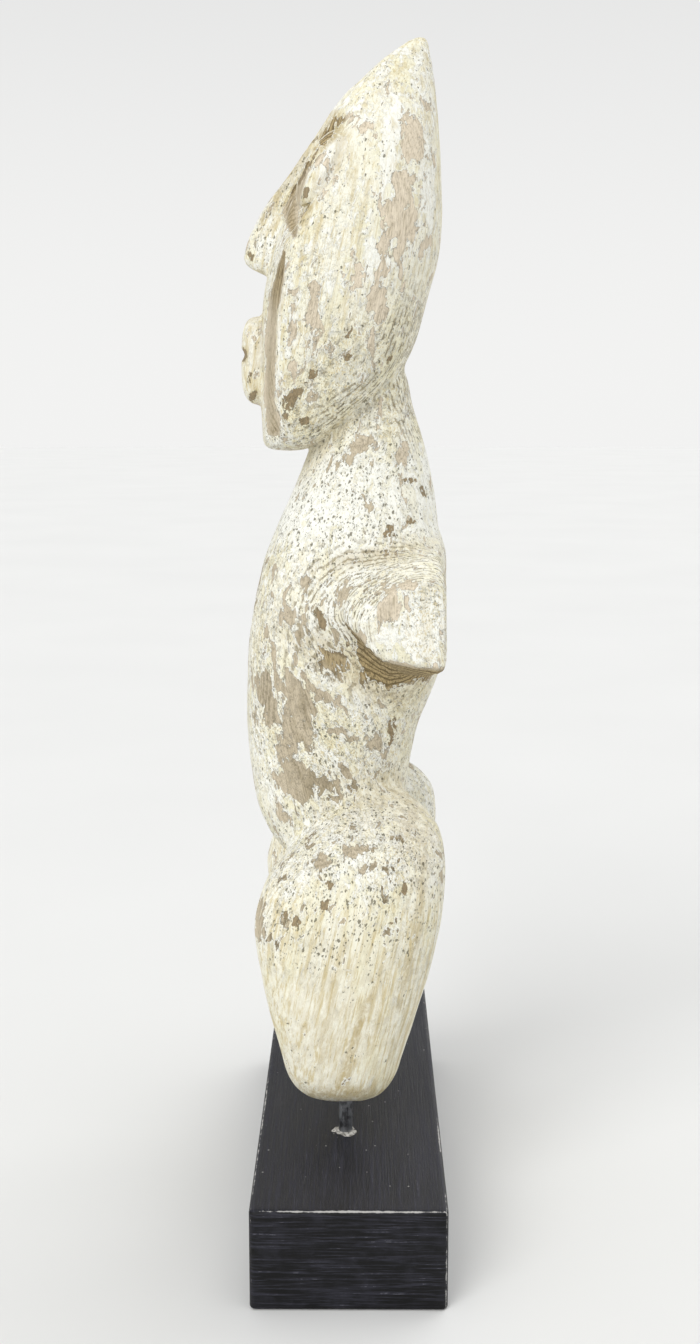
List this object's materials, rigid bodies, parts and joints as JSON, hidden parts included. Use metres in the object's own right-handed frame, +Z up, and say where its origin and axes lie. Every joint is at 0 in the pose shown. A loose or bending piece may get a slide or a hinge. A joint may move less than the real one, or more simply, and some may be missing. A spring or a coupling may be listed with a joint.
{
  "type": "tiki statue",
  "caption": "Carved wooden standing figure with a pointed head, mask-like face, stub arms and leg stumps, held on short rods above a long rectangular block.",
  "frame": {"origin": "centre of the base block's underside, the surface that it stands on", "axes": "+Z up, -Y the way the figure faces, +X towards the figure's own left arm"},
  "size_m": [0.25, 0.0898, 0.5135],
  "materials": {
    "whitewashed_wood": "flaking cream whitewash over bare brown wood, matt",
    "black_wood": "black stain, brushed, satin",
    "steel": "plain round bar, dull"
  },
  "bodies": {
    "root": {"figure": "whitewashed_wood", "base": "black_wood", "rod_left": "steel", "rod_right": "steel"}
  },
  "joints": []
}
